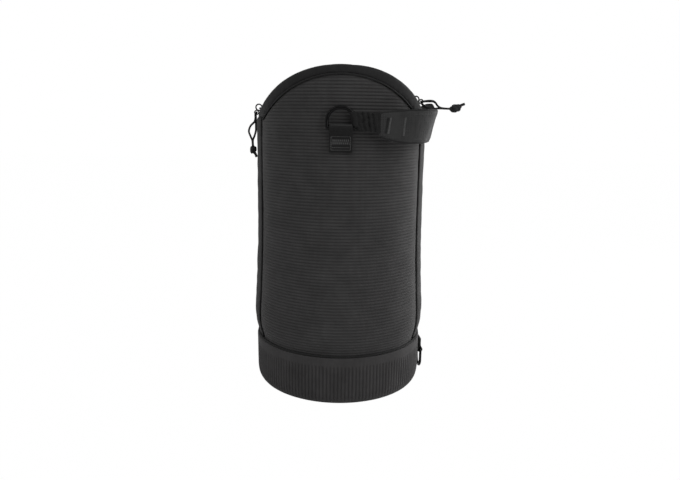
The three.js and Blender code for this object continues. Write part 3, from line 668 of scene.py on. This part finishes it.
def coilHalf(name, sign, shift):
    pitch = zipPlan["pitch"]
    end = zipPlan["coilEnd"]
    points = []
    for i in range(int(2 * end / pitch)):
        base = -end + (i + shift) * pitch
        for k in range(10):
            t = 2 * math.pi * k / 10
            y = sign * (zipPlan["coilMiddle"] - zipPlan["coilReach"] * math.cos(t))
            height = zipPlan["coilRadius"] + zipPlan["coilRise"] * math.sin(t)
            points.append(onArch(height, base + pitch * k / 10 * 0.9, y))
    return wire(name, points, zipPlan["coilWire"], sides=1)


for sign, jaw, label, shift in ((-1, "front_jaw", "front", 0.25), (1, "rear_jaw", "rear", 0.75)):
    tape = tapeHalf("zipTape_" + label, sign)
    dress(tape, fabrics["tape"], "zip_tape", None, "zip_tape_" + label)
    coil = coilHalf("zipCoil_" + label, sign, shift)
    dress(coil, hard["coil"], "zip_coil", None, "zip_teeth_" + label)
    for part in (tape, coil):
        blendToJaw(part)
blendToJaw(crownFront)
blendToJaw(crownRear)

for side in ("left", "right"):
    end = softenEdges(cadCopy("zip_end_" + side, "zipEnd_" + side), 0.15, 2, 40)
    smoothLook(end, 40)
    dress(end, fabrics["tape"], "zip_tape", "case", "zip_end_" + side)
print("crown and zip made")

# Cup: smooth strip under the rim, fine upright ribs below it, rounded foot
cupPlan = {
    "ribs": 152, "perRib": 8, "ribDepth": 0.55, "ribLow": 7.5, "ribHigh": 36.5, "topFade": 1.6, "footFade": 4,
    "wallFrom": 70, "floorTo": 1, "sunk": 0.1, "thickness": 1.1,
}
cupProfile = [
    (74.45, 43.9), (75.2, 44.1), (75.95, 43.9), (76.35, 43.2), (76.4, 42.0), (76.35, 40.4), (76.3, 38.6),
    (76.3, 36.8), (76.3, 34.5), (76.3, 31), (76.3, 27), (76.3, 23), (76.25, 19), (76.2, 16), (76.15, 13),
    (76.0, 10.8), (75.75, 8.8), (75.35, 7.0), (74.75, 5.4), (73.9, 4.0), (72.8, 2.75), (71.4, 1.7),
    (69.8, 0.85), (67.9, 0.25), (65.6, 0.0), (50, 0.0), (25, 0.0), (0.0, 0.0),
]


def cupPlace(u, v):
    last = len(cupProfile) - 1
    radius, z = cupProfile[min(int(round(v * last)), last)]
    foot = cupPlan["footFade"]
    rise = clamped((cupPlan["ribHigh"] - z) / cupPlan["topFade"])
    rise *= clamped((z - cupPlan["ribLow"] + foot) / foot)
    wave = abs(math.sin(math.pi * u * cupPlan["ribs"])) ** 0.8
    turn = 2 * math.pi * u
    soft = 0.3 * ripple(60 * math.cos(turn), 60 * math.sin(turn), z, 24, 6)
    if radius > cupPlan["wallFrom"] and z > cupPlan["floorTo"]:
        radius = radius + soft - cupPlan["sunk"] - cupPlan["ribDepth"] * rise * (1 - wave)
    return around(radius, 360 * u, z)


cup = clothPiece("cup", cupPlan["ribs"] * cupPlan["perRib"], len(cupProfile) - 1, cupPlace,
                 cupPlan["thickness"], 50)
dress(cup, fabrics["cup"], "cup_fabric", "case", "cup_shell")

# Rim binding: a folded tape, pressed flat against the wall
bindingPlan = {"radius": 75.0, "height": 45.2, "halfDepth": 0.95, "halfHeight": 0.85, "steps": 16}


def bindingPlace(u, v):
    steps = bindingPlan["steps"]
    t = 2 * math.pi * (int(round(v * steps)) % steps) / steps
    radius = bindingPlan["radius"] + bindingPlan["halfDepth"] * math.cos(t)
    z = bindingPlan["height"] + bindingPlan["halfHeight"] * math.sin(t)
    turn = 2 * math.pi * u
    lift = 0.18 * ripple(50 * math.cos(turn), 50 * math.sin(turn), 3, 12, 9)
    return around(radius + 0.12 * lift, 360 * u, z + lift)


binding = clothGrid("cupBinding", 360, bindingPlan["steps"], bindingPlace)
smoothLook(mendMesh(binding, 0.00001), 60)
dress(binding, fabrics["binding"], "binding_tape", "case", "cup_binding")
print("cup made")

# Webbing tabs that hold the carrying rings
tabPlan = {
    "half": 9.15, "thickness": 1.15, "wrap": 2.38, "wrapStart": 20, "wrapStep": 21, "stitchDepth": 76.85,
}


def tabLine():
    # the webbing's own line in depth and height: up the wall, round the bar, down again over itself
    line = [(-75.0, 215.6), (-75.0, 221), (-75.0, 226.8), (-75.0, 231.3), (-75.15, 233)]
    wrap = tabPlan["wrap"]
    for k in range(11):
        t = math.radians(tabPlan["wrapStart"] + tabPlan["wrapStep"] * k)
        line.append((-shape["ringPlane"] + wrap * math.cos(t), shape["ringBar"] + wrap * math.sin(t)))
    line += [(-77.9, 231.2), (-77.0, 229.8), (-76.4, 228.4), (-76.15, 226.6), (-76.15, 222), (-76.15, 216.4)]
    return line


def webbingAlong(name, line, half, thickness, columns):
    # a flat strap whose middle follows a line of (depth, height), its width along X
    path = smoothPath([Vector((0, y, z)) for y, z in line], 5)
    last = len(path) - 1

    def place(u, v):
        p = path[min(int(round(v * last)), last)]
        x = -half + 2 * half * u
        ridge = 0.06 * math.sin(x * 5.2)
        return Vector((x, p.y - ridge, p.z))
    obj = clothGrid(name, columns, last, place)
    applyModifier(obj, "SOLIDIFY", thickness=thickness * mm, offset=0.0, use_even_offset=True)
    softenEdges(obj, 0.2, 2, 60)
    mendMesh(obj, 0.000005)
    return smoothLook(obj, 40)


def stitchRow(points, step=1.5, radius=0.17):
    # short thread lengths lying on the cloth, with a gap between them
    path = [Vector(p) for p in points]
    pieces = []
    for a, b in zip(path, path[1:]):
        count = max(1, int((b - a).length / step))
        for i in range(count):
            start = a.lerp(b, (i + 0.12) / count)
            stop = a.lerp(b, (i + 0.88) / count)
            pieces.append(wire("stitch", [start, start.lerp(stop, 0.5), stop], radius, sides=1))
    return pieces


def boxStitch(y):
    # the sewn square with its close zigzag, over the two layers of the tab
    corners = [(-7.6, y, 217.6), (7.6, y, 217.6), (7.6, y, 228.0), (-7.6, y, 228.0), (-7.6, y, 217.6)]
    zigzag = [(-6.8 + 13.6 * i / 18, y, 221.7 + (4.5 if i % 2 else 0)) for i in range(19)]
    pieces = stitchRow(corners, radius=0.24)
    pieces += stitchRow(zigzag, 2.2, 0.25)
    pieces += stitchRow([(-7.0, y, 219.5), (7.0, y, 219.5)], radius=0.24)
    return pieces


tabFront = webbingAlong("ringTabFront", tabLine(), tabPlan["half"], tabPlan["thickness"], 42)
dressTwins(tabFront, "ringTabRear", fabrics["webbing"], "webbing", ("ring_tab_front", "ring_tab_rear"))
stitches = joinPieces("tabStitchesFront", boxStitch(-tabPlan["stitchDepth"]))
dressTwins(stitches, "tabStitchesRear", fabrics["boxThread"], "thread")

# A paler strip of webbing along the top of the fold over the ring's bar: a painted highlight where the fold
# catches the light
foldHighlightPlan = {"half": 8.4, "depth": 79.5, "height": 236.8, "radius": 0.62}
foldHighlightPath = []
for k, x in enumerate(evenly(-foldHighlightPlan["half"], foldHighlightPlan["half"], 12)):
    foldHighlightPath.append((x, -foldHighlightPlan["depth"] - 0.1 * ripple(k, 3, 5, 3, 8), foldHighlightPlan["height"]))
fold = wire("tabFoldHighlightFront", foldHighlightPath, foldHighlightPlan["radius"], sides=3)
dressTwins(fold, "tabFoldHighlightRear", fabrics["strap"], "webbing")

# Carrying rings of bent wire
ringPlan = {"leg": 4.7, "corner": 1.65, "bow": 0.9, "wire": 1.48}


def dRing(radius, leg, corner, bow=1.0):
    # a bow, two short legs and a bar with small square-ish corners
    path = []
    for k in range(33):
        t = math.pi * k / 32
        across = abs(math.cos(t)) ** bow * (1 if k <= 16 else -1)
        path.append(Vector((radius * across, 0, leg + radius * math.sin(t) ** bow)))
    for middle, start in ((corner - radius, math.pi), (radius - corner, 1.5 * math.pi)):
        for k in range(9):
            t = start + math.pi / 2 * k / 8
            path.append(Vector((middle + corner * math.cos(t), 0, corner + corner * math.sin(t))))
    return path


ringBase = Vector((0, -shape["ringPlane"], shape["ringBar"]))
ringBend = dRing(shape["ringRadius"], ringPlan["leg"], ringPlan["corner"], ringPlan["bow"])
ringFront = wire("carryRingFront", [p + ringBase for p in ringBend], ringPlan["wire"], True, 7)
dressTwins(ringFront, "carryRingRear", hard["metal"], "black_metal", ("d_ring_front", "d_ring_rear"))
print("rings and tabs made")

# Handle: a wide padded strap, bound along both edges, its crumpled narrow ends looped through the rings
strapPlan = {
    "top": 249.6, "low": 223.2, "half": 1.3, "lean": 3.0, "cornerLean": 4.6, "twist": 6.0,
    "lowLift": 5.2, "lowOver": 24, "topDrop": 2.7, "topOver": 40, "droop": 0.35,
    "twistOver": 22, "untwistEnd": 80, "untwistOver": 44, "leanFrom": 18, "leanOver": 30,
    "cornerAt": 50, "cornerReach": 22, "leanBase": 223.0, "leanHeight": 26.8, "doubledEnd": 26.5,
}
strapFront = [(30, -78.0), (42, -78.3), (52, -77.6), (60, -74.8), (66.5, -69.5), (70.4, -62.5), (74.2, -46),
              (77.8, -26), (81.3, 0)]
strapKeys = [(x, y, 0) for x, y in strapFront] + [(x, -y, 0) for x, y in reversed(strapFront[:-1])]
strapLine = smoothPath(strapKeys, 14)
strapRun = [0.0]
for a, b in zip(strapLine, strapLine[1:]):
    strapRun.append(strapRun[-1] + (b - a).length)


def strapAt(distance):
    distance = max(0.0, min(strapRun[-1], distance))
    i = 0
    while i < len(strapRun) - 2 and strapRun[i + 1] < distance:
        i += 1
    t = (distance - strapRun[i]) / max(1e-9, strapRun[i + 1] - strapRun[i])
    point = strapLine[i].lerp(strapLine[i + 1], t)
    before = strapLine[max(i - 1, 0)]
    after = strapLine[min(i + 2, len(strapLine) - 1)]
    along = (after - before).normalized()
    return point, Vector((along.y, -along.x, 0))


strapLength = strapRun[-1]


def fromEnd(distance):
    return min(distance, strapLength - distance)


def strapEdges(distance):
    # the narrow ends hang a little lower than the middle and widen downwards
    near = fromEnd(distance)
    wide = min(1.0, near / strapPlan["lowOver"])
    rise = min(1.0, near / strapPlan["topOver"])
    low = strapPlan["low"] + strapPlan["lowLift"] * (1 - wide) ** 1.6
    high = strapPlan["top"] - strapPlan["topDrop"] * (1 - rise) ** 1.3
    droop = strapPlan["droop"] * math.sin(distance / 19.0)
    # behind the outer bend the strap twists up a little
    past = distance - strapLength / 2
    start = clamped((past + 1) / strapPlan["twistOver"])
    stop = clamped((strapPlan["untwistEnd"] - past) / strapPlan["untwistOver"])
    twist = strapPlan["twist"] * eased(start) * eased(stop)
    return low + droop + 0.4 * twist, high + droop + twist


def strapLean(distance, y):
    turned = clamped((fromEnd(distance) - strapPlan["leanFrom"]) / strapPlan["leanOver"])
    corner = math.exp(-(((abs(y) - strapPlan["cornerAt"]) / strapPlan["cornerReach"]) ** 2))
    return turned * (strapPlan["lean"] + (strapPlan["cornerLean"] - strapPlan["lean"]) * corner)


def strapPoint(distance, share, outward):
    # share runs from the lower edge to the upper one; outward is counted from the strap's middle layer
    point, out = strapAt(distance)
    low, high = strapEdges(distance)
    middle = (share * (high - low) + low - strapPlan["leanBase"]) / strapPlan["leanHeight"]
    lean = strapLean(distance, point.y) * (2 * middle - 1)
    return point + out * (outward + lean) + Vector((0, 0, low + (high - low) * share))


def strapFace(side):
    def place(u, v):
        distance = strapLength * u
        low, high = strapEdges(distance)
        edge = min(v, 1 - v) * (high - low)
        bulge = strapPlan["half"] * min(1.0, (edge / 2.2)) ** 0.5
        bulge += 0.22 * ripple(distance, v * 27, side, 8, 3) * min(1.0, edge / 2)
        near = fromEnd(distance)
        bulge *= min(1.0, 0.35 + 0.65 * (near / 5.0) ** 0.7) if near < 5 else 1.0
        if side > 0:
            # the folded-back end lies as a second layer as far as the second bartack
            bulge += 0.3 * clamped((strapPlan["doubledEnd"] - near) / 0.9) * min(1.0, edge / 1.2)
        return strapPoint(distance, v, side * bulge)
    return place


strap = joinPieces("handleStrap", [clothGrid("strapFace", 260, 26, strapFace(side)) for side in (1, -1)])
pick(strap)
bpy.ops.object.mode_set(mode="EDIT")
bpy.ops.mesh.select_all(action="SELECT")
bpy.ops.mesh.remove_doubles(threshold=0.00002)
bpy.ops.mesh.select_all(action="DESELECT")
bpy.ops.mesh.select_non_manifold()
bpy.ops.mesh.edge_face_add()
bpy.ops.mesh.select_all(action="SELECT")
bpy.ops.mesh.normals_make_consistent(inside=False)
bpy.ops.object.mode_set(mode="OBJECT")
smoothLook(strap, 50)
dress(strap, fabrics["strap"], "strap", "handle", "handle_strap")

for name, share in (("strapBindingTop", 0.979), ("strapBindingLow", 0.021)):
    points = [strapPoint(distance, share, 0.12 * ripple(distance, 2, 0, 6, 4))
              for distance in evenly(0.6, strapLength - 0.6, 169)]
    dress(wire(name, points, 0.98, sides=3), fabrics["binding"], "strap", "handle")


def strapStitches(height, outward, step=2.4):
    pieces = []
    distance = 3.0
    while distance < strapLength - 3:
        points = []
        for k in range(3):
            along = distance + 0.75 * step * k / 2
            points.append(strapPoint(along, height, outward * (strapPlan["half"] + 0.02)))
        pieces.append(wire("stitch", points, 0.13, sides=1))
        distance += step
    return pieces


strapThread = joinPieces("strapStitches", strapStitches(0.13, 1) + strapStitches(0.87, 1))
dress(strapThread, fabrics["boxThread"], "thread", "handle")

# Bartacks, two at each end, and a dark seam beside the one nearest the ring
tackPlan = {
    "first": 37.6, "second": 49, "firstSlant": 2.8, "secondSlant": 2.2, "seam": 35.6,
    "low": 0.22, "high": 0.78, "step": 0.0185, "halfLength": 0.7, "out": 0.36, "radius": 0.21,
}


def bartackPiece(name, x, side, slant):
    # a dense bar of cross stitches through the strap, sewn at a slant
    pieces = []
    distance = 0.0
    while strapAt(distance)[0].x < x:
        distance += 0.1
    if side > 0:
        distance = strapLength - distance
    share = tackPlan["low"]
    out = strapPlan["half"] + tackPlan["out"]
    while share < tackPlan["high"]:
        middle = distance - side * slant * (share - 0.5)
        start = strapPoint(middle - tackPlan["halfLength"], share - 0.004, out)
        stop = strapPoint(middle + tackPlan["halfLength"], share + 0.009, out)
        pieces.append(wire("stitch", [start, stop], tackPlan["radius"], sides=1))
        share += tackPlan["step"]
    return joinPieces(name, pieces)


for label, side in (("Front", -1), ("Rear", 1)):
    for number, x, slant in (("1", tackPlan["first"], tackPlan["firstSlant"]),
                             ("2", tackPlan["second"], tackPlan["secondSlant"])):
        tack = bartackPiece("bartack" + label + number, x, side, slant)
        dress(tack, fabrics["thread"], "thread", "handle", "bartack_" + label.lower() + "_" + number)

for label, side in (("Front", -1), ("Rear", 1)):
    seam = bartackPiece("handleSeam" + label, tackPlan["seam"], side, tackPlan["firstSlant"])
    dress(seam, fabrics["binding"], "thread", "handle")

# Narrow end loop: two crumpled layers of webbing that pass round the ring's wire
loopPlan = {
    "rows": 40, "turns": 14, "tailSteps": 46, "low": 6.2, "height": 13.8, "fold": 2.15, "endFold": 0.8,
    "clearance": 0.3, "length": 30.6, "thickness": 0.9,
}


def wireX(w):
    # where the ring's wire is at a height counted from the middle of its bow
    radius = shape["ringRadius"]
    if w > 0:
        return math.sqrt(radius * radius - min(w, 9.5) ** 2)
    if w > -2.4:
        return radius
    return radius + 3.6 * min(1.0, (-2.4 - w) / 1.6)


def loopPlace(u, v):
    # each row of the webbing wraps the wire where the wire is
    turns, tailSteps, fold = loopPlan["turns"], loopPlan["tailSteps"], loopPlan["fold"]
    w = -loopPlan["low"] + loopPlan["height"] * u
    i = int(round(v * (2 * tailSteps + turns)))
    bend = wireX(w)
    if tailSteps <= i <= tailSteps + turns:
        t = math.pi / 2 + math.pi * (i - tailSteps) / turns
        return Vector((bend + loopPlan["clearance"] + fold * 1.12 * math.cos(t), fold * math.sin(t), w))
    side = 1 if i < tailSteps else -1
    run = (tailSteps - i) / tailSteps if i < tailSteps else (i - tailSteps - turns) / tailSteps
    x = bend + loopPlan["clearance"] + (loopPlan["length"] - bend) * run
    reach = clamped((x - 12) / 18)
    crease = 0.75 * math.sin(x * 1.55 + 0.32 * w + 0.8 * ripple(w, x, side, 5, 2))
    crease += 0.5 * ripple(w, x, side, 2.4, 6) + 0.35 * math.sin(0.9 * w - 0.7 * x)
    crease *= math.sin(math.pi * min(1.0, run * 1.02)) ** 0.7 * 0.85
    depth = side * (fold + (loopPlan["endFold"] - fold) * reach ** 0.8)
    drop = -0.3 - 1.1 * reach
    return Vector((x, depth + crease * (1.0 if side < 0 else 0.5), w * (1 + 0.06 * reach) + drop * reach))


def loopFrontPiece():
    steps = 2 * loopPlan["tailSteps"] + loopPlan["turns"]
    obj = clothGrid("handleLoopFront", loopPlan["rows"], steps, loopPlace)
    obj.data.transform(Matrix.Translation(Vector((0, -77.75, shape["ringCentre"])) * mm))
    thicken(obj, loopPlan["thickness"], 0.0)
    softenEdges(obj, 0.15, 2, 60)
    mendMesh(obj, 0.000005)
    return smoothLook(obj, 50)


loopFront = loopFrontPiece()
loopRear = movedCopy(loopFront, "handleLoopRear", Matrix.Scale(-1, 4, Vector((0, 1, 0))))
loopRear.data.flip_normals()
dress(loopFront, fabrics["webbing"], "webbing", "handle", "handle_loop_front")
dress(loopRear, fabrics["webbing"], "webbing", "handle", "handle_loop_rear")
print("handle made")

# Small ring and tab at the right of the cup
cupRing = {"angle": 95, "plane": 79.1, "bar": 23.0, "radius": 8.0, "leg": 8.8, "corner": 1.4, "wire": 1.25}


def onCup(obj):
    obj.data.transform(Matrix.Rotation(math.radians(cupRing["angle"]), 4, "Z"))
    return obj


cupTabLine = [
    (-78.1, 34.6), (-78.1, 30), (-78.0, 26.5), (-77.7, 24.4), (-77.5, 23.0), (-77.75, 21.9), (-78.5, 21.35),
    (-79.4, 21.25), (-80.4, 21.6), (-81.0, 22.6), (-80.9, 23.8), (-80.2, 25.2), (-79.4, 26.8), (-79.2, 30),
    (-79.2, 34.4),
]
cupTab = onCup(webbingAlong("cupRingTab", cupTabLine, 5.8, 1.25, 30))
dress(cupTab, fabrics["webbing"], "webbing", "case", "cup_ring_tab")
cupCorners = [(x, -79.8, z) for x, z in ((-4.6, 28.4), (4.6, 28.4), (4.6, 33.2), (-4.6, 33.2), (-4.6, 28.4))]
cupStitch = joinPieces("cupTabStitches", stitchRow(cupCorners, 1.2, 0.14))
onCup(cupStitch)
dress(cupStitch, fabrics["thread"], "thread", "case")
cupBend = dRing(cupRing["radius"], cupRing["leg"], cupRing["corner"])
cupRingPath = [Vector((p.x, -cupRing["plane"], cupRing["bar"] - p.z)) for p in cupBend]
smallRing = wire("cupRing", cupRingPath, cupRing["wire"], True, 6)
onCup(smallRing)
dress(smallRing, hard["metal"], "black_metal", "cup_ring", "cup_ring")

# Inside: lining with quilted rows, foam core, padded floor on a stiff board
liningPlan = {"radius": 64.25, "archReach": 64.0, "low": 5.6, "quiltPitch": 24.0, "quiltDepth": 0.55}


def liningPlace(u, v):
    angle = 360 * u
    low = liningPlan["low"]
    top = archTop(liningPlan["archReach"] * math.sin(math.radians(angle))) - 0.3
    z = min(low + (panelTop - low) * v, top)
    quilt = abs(math.sin(math.pi * z / liningPlan["quiltPitch"])) ** 0.5
    turn = u * 6.2832
    soft = 0.12 * ripple(40 * math.cos(turn), 40 * math.sin(turn), z, 12, 3)
    return around(liningPlan["radius"] - liningPlan["quiltDepth"] * quilt - soft, angle, z)


lining = clothPiece("wallLining", 180, 190, liningPlace, 0.5, 60, 1.0)
dress(lining, fabrics["lining"], "lining", "case", "wall_lining")

foam = remeshed(cadCopy("wall_foam", "wallFoam"), 2.3, 4)
smoothLook(foam, 80)
dress(foam, fabrics["foam"], "foam", "case", "wall_foam")

floorPad = remeshed(cadCopy("floor_pad", "floorPad"), 1.6, 8)
smoothLook(floorPad, 80)
dress(floorPad, fabrics["lining"], "lining", "case", "floor_pad")

board = softenEdges(cadCopy("floor_board", "floorBoard"), 0.4, 2, 40)
smoothLook(board, 40)
dress(board, hard["board"], "board", "case", "floor_board")
print("inside made")

# Floor, backdrop and soft studio light
clearSelection()
bpy.ops.mesh.primitive_plane_add(size=6, location=(0, 0, 0))
floor = bpy.context.object
floor.name = "floor"
floorMaterial, floorTree, floorShader = newMaterial("studioFloor")
feed(floorTree, floorShader, {"Base Color": (0.86, 0.86, 0.86, 1), "Roughness": 0.9})
glow = addNode(floorTree, "Emission", {"Color": (1, 1, 1, 1), "Strength": 1.0})
seen = addNode(floorTree, "LightPath").outputs["Is Camera Ray"]
share = addNode(floorTree, "Math", {0: seen, 1: 0.997}, operation="MULTIPLY").outputs[0]
floorMix = addNode(floorTree, "MixShader", {0: share, 1: floorShader.outputs[0], 2: glow.outputs[0]})
feed(floorTree, floorTree.nodes["Material Output"], {"Surface": floorMix.outputs[0]})
floor.data.materials.append(floorMaterial)

world = bpy.data.worlds.new("studio")
bpy.context.scene.world = world
world.use_nodes = True
worldTree = world.node_tree
background = worldTree.nodes["Background"]
feed(worldTree, background, {"Color": (1, 1, 1, 1), "Strength": 0.31})
whiteBack = addNode(worldTree, "Background", {"Color": (1, 1, 1, 1), "Strength": 1.0})
rays = addNode(worldTree, "LightPath").outputs
direct = addNode(worldTree, "Math", {0: rays["Is Camera Ray"], 1: rays["Is Transmission Ray"]},
                 operation="MAXIMUM").outputs[0]
worldMix = addNode(worldTree, "MixShader", {0: direct, 1: background.outputs[0], 2: whiteBack.outputs[0]})
feed(worldTree, worldTree.nodes["World Output"], {"Surface": worldMix.outputs[0]})


def softLamp(name, place, target, size, power, along=None):
    data = bpy.data.lights.new(name, "AREA")
    data.shape = "RECTANGLE"
    data.size, data.size_y = size
    data.energy = power
    lamp = addObject(name, data)
    lamp.location = place
    lamp.rotation_euler = (Vector(target) - Vector(place)).to_track_quat("-Z", "Y").to_euler()
    if along:
        # the long side of a strip lamp lies this way
        back = (Vector(place) - Vector(target)).normalized()
        length = Vector(along) - back * back.dot(Vector(along))
        length.normalize()
        lamp.rotation_euler = Matrix((length, back.cross(length), back)).transposed().to_euler()
    return lamp


softLamp("keyRight", (0.75, -0.75, 0.55), (0, 0, 0.15), (0.6, 0.8), 2.9)
softLamp("fillLeft", (-0.8, -0.6, 0.45), (0, 0, 0.15), (0.6, 0.8), 0.45)
softLamp("rimRight", (0.7, 0.35, 0.35), (0, 0, 0.15), (0.4, 0.7), 4.3)
softLamp("rimLeft", (-0.7, 0.3, 0.35), (0, 0, 0.15), (0.4, 0.7), 0.75)
softLamp("topSoft", (0, -0.1, 1.1), (0, 0, 0.2), (0.8, 0.8), 1.0)
softLamp("glintLeft", (-0.62, -0.5, 1.0), (0, -0.077, 0.24), (0.6, 0.24), 1.5, along=(0.77, 0, 0.64))
softLamp("glintRight", (0.62, -0.5, 1.0), (0, -0.077, 0.24), (0.6, 0.24), 1.7, along=(0.77, 0, -0.64))
print("stage made")
